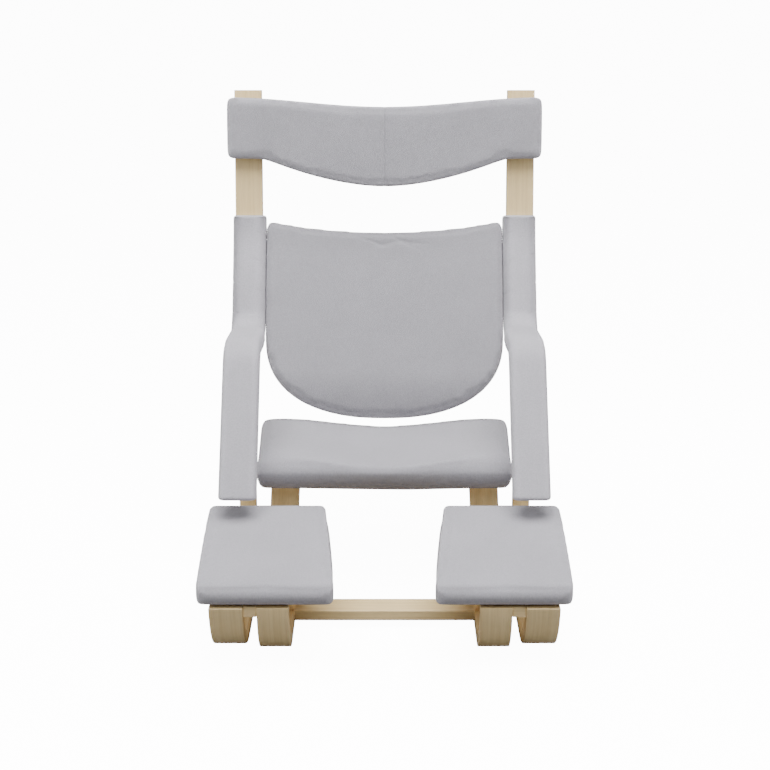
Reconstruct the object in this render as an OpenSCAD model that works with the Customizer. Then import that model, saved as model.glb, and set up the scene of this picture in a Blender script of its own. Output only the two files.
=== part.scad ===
// Kneeling massage chair: bent wood sled base, two knee pads, a dished seat,
// a curved chest cushion, padded arms and a sliding headrest.
// The chair stands on the XY plane, faces -Y and is symmetric about X = 0.
// Side profiles are routes: lists of [straight length, turn, bend radius].

/* [Overall] */
// Distance from the front of the knee pads to the rear end of the runners
overall_depth = 900; // [890:1:930]
// Thickness of every bent wood member
wood_t = 26; // [24:0.5:27]
// Thickness of the rubber strips that the chair stands on
strip_t = 3; // [2:0.5:5]

/* [Runners] */
// Inner side of each outer runner, measured from the middle of the chair
runner_in = 267; // [266:0.5:270]
// Width of each outer runner
runner_w = 65; // [60:1:66]
// Radius of the turned-up front end of the outer runners
runner_bend = 170; // [165:1:172]
// Height at which the runners and the seat beams end, under the knee pads
tip_z = 125.4; // [124:0.1:125.6]

/* [Seat beams] */
// Inner side of each seat beam, measured from the middle of the chair
beam_in = 181; // [180:0.5:183]
// Width of each seat beam
beam_w = 60; // [58:0.5:61]
// Radius of the turned-up front end of the seat beams
beam_bend = 145; // [144:1:147]

/* [Foot bar] */
// Depth of the foot bar
foot_bar_d = 66; // [60:1:68]
// Thickness of the foot bar
foot_bar_t = 22; // [18:1:22]

/* [Knee pads] */
// Outer side of each knee pad, measured from the middle of the chair
pad_out = 355; // [350:1:358]
// Inner side of each knee pad at its front
pad_in_front = 94; // [90:1:98]
// Inner side of each knee pad at its rear
pad_in_rear = 122; // [118:1:126]
// Thickness of a knee pad at its crown
pad_t = 62; // [56:1:64]
// Slope of the knee pads, rising towards the seat
pad_tilt = 6.7; // [6.5:0.1:6.9]

/* [Seat] */
// Half the width of the seat cushion
seat_half = 265.5; // [258:0.5:266]
// Depth of the seat cushion
seat_d = 250; // [240:1:252]
// Thickness of the seat cushion at its raised sides
seat_t = 62; // [58:1:64]
// How far the middle of the seat dips below its sides
seat_dish = 22; // [15:1:25]
// Slope of the seat, rising towards the back
seat_tilt = 4.5; // [4.4:0.1:4.6]

/* [Back] */
// Half the width of the chest cushion
back_half = 255; // [250:0.5:255.5]
// Height of the chest cushion at its middle, along its slope
back_h = 407; // [395:1:410]
// Thickness of the chest cushion
back_cushion_t = 40; // [34:1:40]
// Lean of the chest cushion away from the vertical
back_lean = 26; // [26:0.1:26.1]
// Radius of the hollow curve of the back, seen from above
back_bow = 1203; // [1180:1:1230]

/* [Posts and arms] */
// Inner side of each post, measured from the middle of the chair
post_in = 267; // [266.5:0.5:267.5]
// Width of each post
post_w = 59; // [57:0.5:59.5]
// Lean of the upper posts away from the vertical
post_lean = 6.5; // [6.4:0.1:6.6]
// Thickness of the padding on the arms
arm_pad_t = 16; // [12:1:18]

/* [Headrest] */
// Half the width of the headrest
head_half = 341; // [336:1:344]
// Thickness of the headrest cushion
head_cushion_t = 24; // [20:1:28]
// How far the middle of the headrest sits behind its ends
head_bow = 18; // [12:1:22]
// Distance from the top of the posts down to the top of the headrest
head_drop = 16; // [14:1:40]

/* [Knobs and bolts] */
// Diameter of the clamping knobs
knob_d = 38; // [34:1:42]
// Diameter of the clamping screws and frame bolts
screw_d = 8; // [6:0.5:8]

/* [Hidden] */

$fn = 48;
// Largest turn between two points of a bend, in degrees
arc_step = 3;
// Gap between two parts that are shaped to each other
gap = 0.3;
// Overshoot of a cutting shape
over = 5;

wood = [0.86, 0.75, 0.58];
ply = [0.80, 0.69, 0.52];
fabric = [0.77, 0.76, 0.79];
steel = [0.62, 0.63, 0.65];
black = [0.12, 0.12, 0.13];

ply_t = 12;
shell_t = 10;
runner_out = runner_in + runner_w;
beam_out = beam_in + beam_w;
post_out = post_in + post_w;
screw_r = screw_d / 2;
hole_r = screw_r + 0.3;

// Outer runner: from its rear end forward along the floor, then up
runner_floor_y = 168;
runner_turn = 82;
runner_start = [overall_depth, 0, 180];
runner_route = [[overall_depth - runner_floor_y, -runner_turn, runner_bend]];

// Seat beam: down from its front end, along the floor, up to the seat and back under it
beam_floor_y = 148;
beam_turn = 80;
beam_tip_run = 8;
beam_start = [beam_floor_y - beam_bend * sin(beam_turn) - beam_tip_run * cos(beam_turn),
    beam_bend * (1 - cos(beam_turn)) + beam_tip_run * sin(beam_turn), -beam_turn];
beam_rise = 45;
beam_route = [[beam_tip_run, beam_turn, beam_bend], [112, beam_rise, 150],
    [177.5, seat_tilt - beam_rise, 80], [123, 0, 0]];

// Foot bar between the seat beams, and its bolts
foot_bar_y = 220;
foot_bar_z = 12;
foot_bolt_y = [foot_bar_y + 16, foot_bar_y + foot_bar_d - 16];
foot_bolt_z = 18.5;
foot_bolt_r = 3;
foot_head_r = 6.5;
foot_head_h = 3.5;

// Rear strut: down from the seat beam, ending flat beside the runner
strut_in = 203;
strut_route = [[225, 47, 60], [46, 0, 0]];
strut_start = [608, 210, -47];

// Post and arm: one bent piece, from the top of the post down to the free end of the arm
post_top = [786, 1013, -90 - post_lean];
post_route = [[255, -3.5, 260]];
elbow_route = [[0, post_lean + 3.5 - back_lean, 260], [139, back_lean - 95, 70]];
arm_route = [[122, 59, 69], [280, 0, 0]];
arm_end_t = 12;
sleeve_wrap = 6;
sleeve_in = 257;
sleeve_out = 330;

// Knee pads: front lower corner of the left pad in the side view
pad_origin = [21, 126];
pad_d = 333;
pad_nose = [26, 25];
pad_tail = [15, 25];
pad_corner = 24;
pad_screw_spots = [[205, 252], [300, 252]];
bracket_t = 2;
cleat_y = [11, 50, 104];
cleat_step = 6;
cleat_z = 105;
riser_y = [235, 253];
riser_top = 138.6;

// Rear leg: along the rear of the post, then down to a flat foot on the runner
leg_in = 288;
leg_out = 326;
leg_lap = 118;
leg_bend = 90;
foot_bend = 40;
foot_run = 45;

// Seat: front lower corner of the cushion in the side view
seat_origin = [392, 237];
seat_nose = 30;
base_y = 50;
bearer_t = 18;
bearer_y = [138, 210];
seat_knob_x = 120;
seat_knob_y = 174;
seat_travel = 20;

// Back: front face of the chest cushion at the middle of its top edge
back_origin = [770, 700];
back_top_rise = 18;
back_curve_h = 168;
back_power = 2.4;
rail_t = 24;
rail_front = back_cushion_t + shell_t;
rail_upper_z = [-95, -45];
rail_lower_z = [-175, -125];
rail_lower_t = 31;
post_rear = 3.3;

// Middle of a post, where the headrest clamps are
post_mid_x = post_in + post_w / 2;

// Back rails end beside the rear legs and are bolted to the posts at two levels
rail_half = leg_in - 2;
rail_bolt_x = (post_in + rail_half) / 2;
bolt_z = [(rail_upper_z[0] + rail_upper_z[1]) / 2, (rail_lower_z[0] + rail_lower_z[1]) / 2];
bolt_rear = [rail_front + rail_t, rail_front + rail_lower_t];
bolt_tip = -9;
bolt_head_r = 8;
bolt_head_h = 4;
head_lift = 2.6;

// Headrest: heights are measured down the posts from their top
head_end_h = 131;
head_mid_drop = 20;
head_mid_h = 172;
head_arch_half = 262;
head_bend_half = 245;
head_board_inset = 14;
clamp_z = -115;
clamp_h = 60;
clamp_t = 3;
clamp_tab = 11;
clamp_gap = 0.4;

// ---------- routes and outlines ----------

function reversed(v) = [for (i = [len(v) - 1 : -1 : 0]) v[i]];

function last(v) = v[len(v) - 1];

// Points of a bend: p is [y, z, heading], positive turns go left
function bend(p, turn, r) =
    let (s = sign(turn), n = max(1, ceil(abs(turn) / arc_step)), a = p[2])
    [for (k = [1 : n])
        let (h = a + turn * k / n)
        [p[0] + r * s * (sin(h) - sin(a)), p[1] + r * s * (cos(a) - cos(h)), h]];

// Points of a whole route, each with its heading
function walk(route, at, i = 0) =
    i == len(route) ? [at] :
    let (step = route[i],
        a = at[2],
        q = [at[0] + step[0] * cos(a), at[1] + step[0] * sin(a), a],
        turned = step[1] == 0 ? [q] : bend(q, step[1], step[2]))
    concat([at],
        step[0] == 0 || step[1] == 0 ? [] : [q],
        len(turned) > 1 ? [for (k = [0 : len(turned) - 2]) turned[k]] : [],
        walk(route, last(turned), i + 1));

// A line beside the route, off to its left
function beside(stations, off) =
    [for (s = stations) [s[0] - off * sin(s[2]), s[1] + off * cos(s[2])]];

function ribbon(stations, near, far) =
    concat(beside(stations, near), reversed(beside(stations, far)));

// Points of part of an ellipse
function oval(c, r, from, to) =
    let (n = ceil(abs(to - from) / 9))
    [for (k = [0 : n])
        let (a = from + (to - from) * k / n)
        [c[0] + r[0] * cos(a), c[1] + r[1] * sin(a)]];

// A convex outline with its corners rounded, points given anticlockwise
function rounded(pts, r) =
    [for (i = [0 : len(pts) - 1])
        let (n = len(pts),
            p = pts[i],
            u = (pts[(i + n - 1) % n] - p) / norm(pts[(i + n - 1) % n] - p),
            v = (pts[(i + 1) % n] - p) / norm(pts[(i + 1) % n] - p),
            half = acos(u * v) / 2,
            c = p + (u + v) / norm(u + v) * r / sin(half),
            from = atan2(u[0], -u[1]),
            turn = 180 - 2 * half)
        for (k = [0 : 5])
            let (a = from + turn * k / 5)
            [c[0] + r * cos(a), c[1] + r * sin(a)]];

function box_outline(x0, x1, y0, y1) = [[x0, y0], [x1, y0], [x1, y1], [x0, y1]];

runner_stations = walk(runner_route, runner_start);
beam_stations = walk(beam_route, beam_start);
post_stations = walk(post_route, post_top);
elbow_stations = walk(elbow_route, last(post_stations));
arm_stations = walk(arm_route, last(elbow_stations));
core_stations = concat([for (i = [0 : len(post_stations) - 2]) post_stations[i]],
    [for (i = [0 : len(elbow_stations) - 2]) elbow_stations[i]], arm_stations);
strut_stations = walk(strut_route, strut_start);
lap_station = last(walk([elbow_route[0]], last(post_stations)));
leg_off = wood_t + gap / 3;
leg_start = [lap_station[0] - leg_off * sin(lap_station[2]),
    lap_station[1] + leg_off * cos(lap_station[2]), lap_station[2]];
leg_knee = [leg_lap, -90 - lap_station[2], leg_bend];
leg_drop = last(walk([leg_knee], leg_start))[1] - foot_bend - leg_off;
leg_stations = walk([leg_knee, [leg_drop, 90, foot_bend], [foot_run, 0, 0]], leg_start);
arm_sleeve_stations = walk([arm_route[0], [arm_route[1][0] + arm_end_t, 0, 0]], last(elbow_stations));

// ---------- placing ----------

module in_place() {
    translate([0, -overall_depth / 2, strip_t]) children();
}

module on_side(side) {
    mirror([side < 0 ? 1 : 0, 0, 0]) children();
}

// A side view outline, drawn as [y, z], made solid from x0 to x1
module side_prism(x0, x1) {
    translate([x0, 0, 0]) rotate([90, 0, 90]) linear_extrude(x1 - x0) children();
}

// A front view outline, drawn as [x, z], made solid from y0 to y1
module front_prism(y0, y1) {
    translate([0, y1, 0]) rotate([90, 0, 0]) linear_extrude(y1 - y0) children();
}

// A plan outline, drawn as [x, y], made solid from z0 to z1
module plan_prism(z0, z1) {
    translate([0, 0, z0]) linear_extrude(z1 - z0) children();
}

module on_pad() {
    translate([0, pad_origin[0], pad_origin[1]]) rotate([pad_tilt, 0, 0]) children();
}

module on_seat() {
    translate([0, seat_origin[0], seat_origin[1]]) rotate([seat_tilt, 0, 0]) children();
}

module on_back() {
    translate([0, back_origin[0], back_origin[1]]) rotate([-back_lean, 0, 0]) children();
}

module on_post() {
    translate([0, post_top[0], post_top[1]]) rotate([-post_lean, 0, 0]) children();
}

// A round bar along Y from y0 to y1
module rod_y(x, z, r, y0, y1) {
    translate([x, y1, z]) rotate([90, 0, 0]) cylinder(r = r, h = y1 - y0);
}

// A round bar along X from x0 to x1
module rod_x(y, z, r, x0, x1) {
    translate([x0, y, z]) rotate([0, 90, 0]) cylinder(r = r, h = x1 - x0);
}

// ---------- base ----------

module runner(side) {
    color(wood) in_place() on_side(side) intersection() {
        side_prism(runner_in, runner_out) polygon(ribbon(runner_stations, 0, -wood_t));
        side_prism(runner_in - over, runner_out + over)
            polygon(box_outline(-over, overall_depth + over, -over, tip_z));
    }
}

module seat_beam(side) {
    color(wood) in_place() on_side(side) difference() {
        side_prism(beam_in, beam_out) polygon(ribbon(beam_stations, 0, wood_t));
        side_prism(beam_in - over, beam_out + over)
            polygon(box_outline(-over, beam_floor_y - wood_t, tip_z, tip_z + 2 * wood_t));
        foot_bar_bolt_shape(hole_r, 0);
    }
}

// Leg that carries a post, standing on the runner behind the arm
module rear_leg(side) {
    color(wood) in_place() on_side(side) side_prism(leg_in, leg_out)
        polygon(ribbon(leg_stations, 0, wood_t));
}

// Strut that carries the rear of a seat beam down to the tail of the runner
module rear_strut(side) {
    foot = last(strut_stations);
    color(wood) in_place() on_side(side) translate([0, 0, -foot[1]]) difference() {
        side_prism(strut_in, beam_out) polygon(ribbon(strut_stations, 0, wood_t));
        translate([0, 0, foot[1]]) side_prism(strut_in - over, beam_out + over)
            polygon(ribbon(beam_stations, -gap, 2 * wood_t));
    }
}

// Block between the flat foot of a strut and the runner
module strut_tie(side) {
    foot = last(strut_stations);
    color(wood) in_place() on_side(side) plan_prism(0, wood_t)
        polygon(box_outline(beam_out, runner_in, foot[0] - 46, foot[0]));
}

module foot_bar() {
    color(wood) in_place() difference() {
        side_prism(-beam_in, beam_in)
            polygon(rounded(box_outline(foot_bar_y, foot_bar_y + foot_bar_d,
                foot_bar_z, foot_bar_z + foot_bar_t), 3));
        for (side = [-1, 1]) on_side(side) foot_bar_bolt_shape(foot_bolt_r + gap, gap);
    }
}

// Bolts through a seat beam into the end of the foot bar, with the heads outside
module foot_bar_bolt_shape(r, grow) {
    for (y = foot_bolt_y) rod_x(y, foot_bolt_z, r, beam_in - 40 - grow, beam_out);
}

module foot_bar_bolts() {
    color(steel) in_place() for (side = [-1, 1]) on_side(side) {
        foot_bar_bolt_shape(foot_bolt_r, 0);
        for (y = foot_bolt_y) rod_x(y, foot_bolt_z, foot_head_r, beam_out, beam_out + foot_head_h);
    }
}

// Rubber strips under the runners and under the flat stretch of the seat beams
module floor_strips() {
    color(black) in_place() for (side = [-1, 1]) on_side(side) {
        plan_prism(-strip_t, 0)
            polygon(rounded(box_outline(runner_in + 8, runner_out - 8, 180, overall_depth - 12), 6));
        plan_prism(-strip_t, 0)
            polygon(rounded(box_outline(beam_in + 8, beam_out - 8, 158, 254), 6));
    }
}

// ---------- knee pads ----------

// Height of the underside of a pad base above the runners' underside
function base_under(y) = pad_origin[1] + (y - pad_origin[0]) * tan(pad_tilt) - ply_t / cos(pad_tilt);

// Stepped block that joins the front ends of a runner and a seat beam and carries the pad base
module pad_cleat(side) {
    seat_y = cleat_y[1] + cleat_step;
    seat_z = base_under(seat_y) - gap;
    color(wood) in_place() on_side(side) side_prism(beam_out + gap, runner_in - gap) polygon([
        [cleat_y[0], cleat_z], [cleat_y[2], cleat_z],
        [cleat_y[2], base_under(cleat_y[2]) - gap], [seat_y, seat_z],
        [cleat_y[1], seat_z], [cleat_y[1], tip_z], [cleat_y[0], tip_z]]);
}

// Upright board that carries the rear of a knee pad
module pad_riser(side) {
    color(wood) in_place() on_side(side) translate([0, 0, wood_t])
        plan_prism(0, riser_top - wood_t)
            polygon(rounded(box_outline(beam_in + 5, runner_out - 5, riser_y[0], riser_y[1]), 3));
}

function pad_plan(inset, y0, y1) = rounded([
    [pad_in_front + inset, y0], [pad_out - inset, y0],
    [pad_out - inset, y1], [pad_in_rear + inset, y1]], pad_corner);

module pad_base(side) {
    color(ply) in_place() on_side(side) on_pad() difference() {
        plan_prism(-ply_t, 0) polygon(pad_plan(16, 36, pad_d - 14));
        for (p = pad_screw_spots)
            translate([p[0], p[1], -ply_t - over]) cylinder(r = 2.5 + gap, h = ply_t);
    }
}

// Steel angles between the rear of a riser and its pad base
module pad_brackets() {
    y0 = riser_y[1];
    y1 = y0 + 32;
    color(steel) in_place() for (side = [-1, 1]) on_side(side) difference() {
        for (p = pad_screw_spots) side_prism(p[0] - 12, p[0] + 12) polygon([
            [y0, base_under(y0) - 30], [y0 + bracket_t, base_under(y0) - 30],
            [y0 + bracket_t, base_under(y0) - bracket_t], [y1, base_under(y1) - bracket_t],
            [y1, base_under(y1) - gap / 3], [y0, base_under(y0) - gap / 3]]);
        on_pad() for (p = pad_screw_spots)
            translate([p[0], p[1], -ply_t - over]) cylinder(r = 2.5 + gap, h = 2 * over);
    }
}

// Screws up through the angles into the pad bases
module pad_screws() {
    color(steel) in_place() for (side = [-1, 1]) on_side(side) on_pad()
        for (p = pad_screw_spots) {
            translate([p[0], p[1], -ply_t - bracket_t - gap]) cylinder(r = 2.5, h = 9);
            translate([p[0], p[1], -ply_t - bracket_t - gap - 3]) cylinder(r = 5.5, h = 3);
        }
}

// Side view of a knee pad: flat below, crowned above, rolled at the front
function pad_crown(y) = pad_t - 12 * pow((y - 170) / 163, 2);

function pad_profile() = concat(
    oval([8, pad_nose[1]], [pad_nose[0], pad_nose[1]], 270, 90),
    [for (y = [20 : 15 : pad_d - 20]) [y, pad_crown(y)]],
    oval([pad_d - pad_tail[0], pad_tail[1]], [pad_tail[0], pad_tail[1]], 85, -90));

module knee_pad(side) {
    color(fabric) in_place() on_side(side) on_pad() intersection() {
        side_prism(pad_in_front - over, pad_out + over) polygon(pad_profile());
        plan_prism(-over, pad_t + over) polygon(pad_plan(0, -18, pad_d));
    }
}

// ---------- seat ----------

module seat_bearer() {
    color(wood) in_place() on_seat() difference() {
        plan_prism(-ply_t - bearer_t + gap / 3, -ply_t)
            polygon(rounded(box_outline(-beam_out, beam_out, bearer_y[0], bearer_y[1]), 4));
        for (side = [-1, 1]) seat_slot(side);
    }
}

// Slot along Y that lets a clamping screw travel with the seat
module seat_slot(side) {
    r = hole_r + 0.2;
    for (end = [-1, 1])
        translate([side * seat_knob_x, seat_knob_y + end * (seat_travel + 1), -ply_t - bearer_t - over])
            cylinder(r = r, h = bearer_t + 2 * over);
    plan_prism(-ply_t - bearer_t - over, -ply_t + over)
        polygon(box_outline(side * seat_knob_x - r, side * seat_knob_x + r,
            seat_knob_y - seat_travel - 1, seat_knob_y + seat_travel + 1));
}

module seat_base() {
    color(ply) in_place() on_seat() difference() {
        plan_prism(-ply_t + gap / 3, 0)
            polygon(rounded(box_outline(-seat_half + 22, seat_half - 22, base_y, seat_d - 18), 30));
        for (side = [-1, 1])
            translate([side * seat_knob_x, seat_knob_y, -ply_t - over])
                cylinder(r = screw_r + 0.1, h = over + ply_t - 3);
    }
}

// Five-lobed knob with a screw that rises to screw_h above its flange at z = 0
module knob(screw_h) {
    grip_h = 13;
    flange_h = 4;
    mean_r = knob_d / 2 - 2.5;
    translate([0, 0, -flange_h - 1]) cylinder(r = screw_r, h = screw_h + flange_h + 1);
    translate([0, 0, -flange_h - 2]) cylinder(r = 8, h = flange_h + 2);
    translate([0, 0, -flange_h - grip_h]) linear_extrude(grip_h)
        polygon([for (a = [0 : 5 : 355]) (mean_r + 2.5 * cos(5 * a)) * [cos(a), sin(a)]]);
}

module seat_knob(side) {
    color(black) in_place() on_seat()
        translate([side * seat_knob_x, seat_knob_y, -ply_t - bearer_t - gap]) knob(bearer_t + 8);
}

// Front view of the seat cushion: raised sides and a dished middle
function seat_section() = concat(
    [[-seat_half + 14, 0], [seat_half - 14, 0]],
    oval([seat_half - 18, seat_t / 2], [18, seat_t / 2], -60, 90),
    [for (k = [8 : -1 : -8])
        let (x = (seat_half - 26) * k / 8)
        [x, seat_t - seat_dish * (0.5 + 0.5 * cos(180 * x / (seat_half - 26)))]],
    oval([-seat_half + 18, seat_t / 2], [18, seat_t / 2], 90, 240));

// Side view of the seat cushion: waterfall front and a rounded rear
function seat_profile() = concat(
    [[seat_nose, 0]], [[seat_d - 14, 0]],
    oval([seat_d - 16, seat_t / 2], [16, seat_t / 2], -80, 80),
    oval([seat_nose + 10, seat_t / 2 - 2], [seat_nose + 20, seat_t / 2 + 2], 90, 255));

module seat_cushion() {
    color(fabric) in_place() on_seat() intersection() {
        front_prism(-30, seat_d + over) polygon(seat_section());
        side_prism(-seat_half - over, seat_half + over) polygon(seat_profile());
    }
}

// ---------- back ----------

function bow(x) = -x * x / (2 * back_bow);

// A hollow-curved board between two depths behind the chest cushion's front
module bowed(half, y0, y1, z0, z1) {
    xs = [for (k = [-16 : 16]) half * k / 16];
    plan_prism(z0, z1) polygon(concat([for (x = xs) [x, y0 + bow(x)]],
        reversed([for (x = xs) [x, y1 + bow(x)]])));
}

module back_rail_upper() {
    color(wood) in_place() on_back() difference() {
        bowed(rail_half, rail_front, rail_front + rail_t, rail_upper_z[0], rail_upper_z[1]);
        bolt_bores();
    }
}

module back_rail_lower() {
    color(wood) in_place() on_back() difference() {
        bowed(rail_half, rail_front, rail_front + rail_lower_t, rail_lower_z[0], rail_lower_z[1]);
        bolt_bores();
    }
}

// Wedges between the rear of the posts and the curved rails
module rail_wedges() {
    x0 = post_in + 1;
    x1 = rail_half - 1;
    xs = [for (k = [0 : 3]) x0 + (x1 - x0) * k / 3];
    color(wood) in_place() for (side = [-1, 1]) on_side(side) on_back()
        for (z = [rail_upper_z, rail_lower_z]) difference() {
            plan_prism(z[0], z[1]) polygon(concat([for (x = xs) [x, rail_front + bow(x) - gap / 3]],
                [[x1, post_rear + gap / 3], [x0, post_rear + gap / 3]]));
            post_bolt_shape(hole_r);
        }
}

// Bolts from the rear of the rails through the wedges into the posts
module post_bolt_shape(r) {
    for (i = [0, 1]) rod_y(rail_bolt_x, bolt_z[i], r, bolt_tip, bolt_rear[i] + bow(rail_bolt_x) + head_lift);
}

module bolt_bores() {
    for (side = [-1, 1]) on_side(side)
        for (i = [0, 1]) rod_y(rail_bolt_x, bolt_z[i], hole_r, -over, bolt_rear[i] + over);
}

module rail_bolts() {
    color(steel) in_place() for (side = [-1, 1]) on_side(side) on_back() {
        post_bolt_shape(screw_r);
        for (i = [0, 1])
            rod_y(rail_bolt_x, bolt_z[i], bolt_head_r, bolt_rear[i] + bow(rail_bolt_x) + head_lift,
                bolt_rear[i] + bow(rail_bolt_x) + head_lift + bolt_head_h);
    }
}

// Front view of the chest cushion: raised top corners and a deep rounded bottom
function back_outline(inset) =
    let (half = back_half - inset, n = 24,
        curve_top = back_curve_h - back_h)
    concat([for (k = [-n : n])
            let (a = 90 * k / n,
                x = half * sign(k) * pow(abs(sin(a)), 2 / back_power),
                z = curve_top - (back_curve_h - inset) * pow(cos(a), 2 / back_power))
            [x, z]],
        oval([half - 14, back_top_rise - inset - 14], [14, 14], 0, 80),
        [for (k = [9 : -1 : -9]) let (x = (half - 22) * k / 10)
            [x, back_top_rise * pow(x / half, 2) - inset]],
        oval([-half + 14, back_top_rise - inset - 14], [14, 14], 100, 180));

module back_shell() {
    color(ply) in_place() on_back() intersection() {
        bowed(back_half, back_cushion_t, rail_front - gap / 3, -back_h, 30);
        front_prism(-60, 90) polygon(back_outline(14));
    }
}

module back_cushion() {
    color(fabric) in_place() on_back() intersection() {
        bowed(back_half + over, 0, back_cushion_t - gap / 3, -back_h - over, 30);
        front_prism(-60, 90) polygon(back_outline(0));
    }
}

// ---------- posts and arms ----------

module post_arm(side) {
    color(wood) in_place() on_side(side) difference() {
        side_prism(post_in, post_out) polygon(ribbon(core_stations, 0, wood_t));
        on_back() for (i = [0, 1]) rod_y(rail_bolt_x, bolt_z[i], hole_r, bolt_tip - 1, 30);
    }
}

// Padding around the front and the sides of a post
module post_sleeve(side) {
    color(fabric) in_place() on_side(side) difference() {
        side_prism(sleeve_in, sleeve_out) polygon(ribbon(elbow_stations, -arm_pad_t, wood_t));
        side_prism(post_in - gap, post_out + gap) polygon(ribbon(core_stations, -gap, wood_t + over));
    }
}

// Padding all around an arm, closed at the free end
module arm_sleeve(side) {
    color(fabric) in_place() on_side(side) difference() {
        side_prism(sleeve_in, sleeve_out)
            polygon(ribbon(arm_sleeve_stations, -arm_pad_t, wood_t + sleeve_wrap));
        side_prism(post_in - gap, post_out + gap)
            polygon(ribbon(core_stations, -gap, wood_t + gap));
    }
}

// ---------- headrest ----------

// How far the headrest sits back at a distance from the middle
function head_back(x) = abs(x) < head_bend_half ? head_bow * (1 - pow(x / head_bend_half, 2)) : 0;

function head_outline(inset) =
    let (half = head_half - inset, n = 16,
        xs = [for (k = [-n : n]) (half - 12) * k / n],
        bottom = -head_drop - head_end_h)
    concat(
        [for (x = xs)
            [x, inset + (abs(x) < head_arch_half ?
                bottom - (head_drop + head_mid_drop + head_mid_h + bottom)
                    * (1 - pow(abs(x) / head_arch_half, 1.8)) : bottom)]],
        oval([half - 12, bottom + inset + 12], [12, 12], -80, 0),
        oval([half - 12, -head_drop - inset - 12], [12, 12], 0, 80),
        [for (x = reversed(xs))
            [x, -head_drop - inset - head_mid_drop * (0.5 + 0.5 * cos(180 * x / half))]],
        oval([-half + 12, -head_drop - inset - 12], [12, 12], 100, 180),
        oval([-half + 12, bottom + inset + 12], [12, 12], 180, 260));

module head_layer(y0, y1, inset) {
    xs = [for (k = [-24 : 24]) (head_half + over) * k / 24];
    on_post() intersection() {
        plan_prism(-260, 10) polygon(concat([for (x = xs) [x, y0 + head_back(x)]],
            reversed([for (x = xs) [x, y1 + head_back(x)]])));
        front_prism(-60, 60) polygon(head_outline(inset));
    }
}

module headrest_board() {
    color(ply) in_place() head_layer(-shell_t - clamp_gap, -clamp_gap, head_board_inset);
}

module headrest_cushion() {
    color(fabric) in_place() head_layer(-shell_t - clamp_gap - head_cushion_t,
        -shell_t - clamp_gap - gap / 3, 0);
}

// Hat-shaped steel bracket that runs around the rear of a post
module headrest_clamp(side) {
    x0 = post_in - clamp_gap;
    x1 = post_out + clamp_gap;
    rear = wood_t + clamp_gap;
    color(black) in_place() on_side(side) on_post() difference() {
        plan_prism(clamp_z, clamp_z + clamp_h) polygon([
            [x0 - clamp_t - clamp_tab, -clamp_gap], [x0, -clamp_gap], [x0, rear], [x1, rear],
            [x1, -clamp_gap], [x1 + clamp_t + clamp_tab - 5, -clamp_gap],
            [x1 + clamp_t + clamp_tab - 5, clamp_t - clamp_gap], [x1 + clamp_t, clamp_t - clamp_gap],
            [x1 + clamp_t, rear + clamp_t], [x0 - clamp_t, rear + clamp_t],
            [x0 - clamp_t, clamp_t - clamp_gap], [x0 - clamp_t - clamp_tab, clamp_t - clamp_gap]]);
        rod_y(post_mid_x, clamp_z + clamp_h / 2, screw_r + 0.1, rear - over, rear + clamp_t + over);
    }
}

module headrest_knob(side) {
    color(black) in_place() on_side(side) on_post()
        translate([post_mid_x, wood_t + clamp_gap + clamp_t + gap, clamp_z + clamp_h / 2])
            rotate([90, 0, 0]) knob(clamp_t + gap + 0.2);
}

// ---------- nodes ----------

runner(-1);  // runner_left
runner(1);  // runner_right
seat_beam(-1);  // seat_beam_left
seat_beam(1);  // seat_beam_right
post_arm(-1);  // post_arm_left
post_arm(1);  // post_arm_right
rear_leg(-1);  // rear_leg_left
rear_leg(1);  // rear_leg_right
rear_strut(-1);  // rear_strut_left
rear_strut(1);  // rear_strut_right
strut_tie(-1);  // strut_tie_left
strut_tie(1);  // strut_tie_right
foot_bar();
floor_strips();
pad_cleat(-1);  // pad_cleat_left
pad_cleat(1);  // pad_cleat_right
pad_riser(-1);  // pad_riser_left
pad_riser(1);  // pad_riser_right
pad_base(-1);  // pad_base_left
pad_base(1);  // pad_base_right
knee_pad(-1);  // knee_pad_left
knee_pad(1);  // knee_pad_right
seat_bearer();
seat_base();
seat_cushion();
seat_knob(-1);  // seat_knob_left
seat_knob(1);  // seat_knob_right
back_rail_upper();
back_rail_lower();
rail_wedges();
back_shell();
back_cushion();
post_sleeve(-1);  // post_sleeve_left
post_sleeve(1);  // post_sleeve_right
arm_sleeve(-1);  // arm_sleeve_left
arm_sleeve(1);  // arm_sleeve_right
headrest_board();
headrest_cushion();
headrest_clamp(-1);  // headrest_clamp_left
headrest_clamp(1);  // headrest_clamp_right
headrest_knob(-1);  // headrest_knob_left
headrest_knob(1);  // headrest_knob_right
rail_bolts();
foot_bar_bolts();
pad_brackets();
pad_screws();
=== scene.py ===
import math

import bmesh
import bpy
import numpy as np
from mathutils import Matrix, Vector


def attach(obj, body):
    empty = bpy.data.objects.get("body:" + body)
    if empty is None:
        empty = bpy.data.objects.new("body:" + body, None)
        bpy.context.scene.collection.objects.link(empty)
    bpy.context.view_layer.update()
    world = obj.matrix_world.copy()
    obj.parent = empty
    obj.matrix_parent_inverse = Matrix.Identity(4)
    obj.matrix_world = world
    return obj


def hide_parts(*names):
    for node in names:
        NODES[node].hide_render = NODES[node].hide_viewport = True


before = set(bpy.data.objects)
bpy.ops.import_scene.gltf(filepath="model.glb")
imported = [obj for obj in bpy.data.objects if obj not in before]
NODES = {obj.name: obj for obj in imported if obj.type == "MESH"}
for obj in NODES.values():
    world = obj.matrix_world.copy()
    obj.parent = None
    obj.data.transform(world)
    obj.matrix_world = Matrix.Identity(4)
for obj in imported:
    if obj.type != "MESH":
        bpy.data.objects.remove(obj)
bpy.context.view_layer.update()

SIDES = {"left": -1, "right": 1}

# ---------- colours, as linear values ----------

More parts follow.
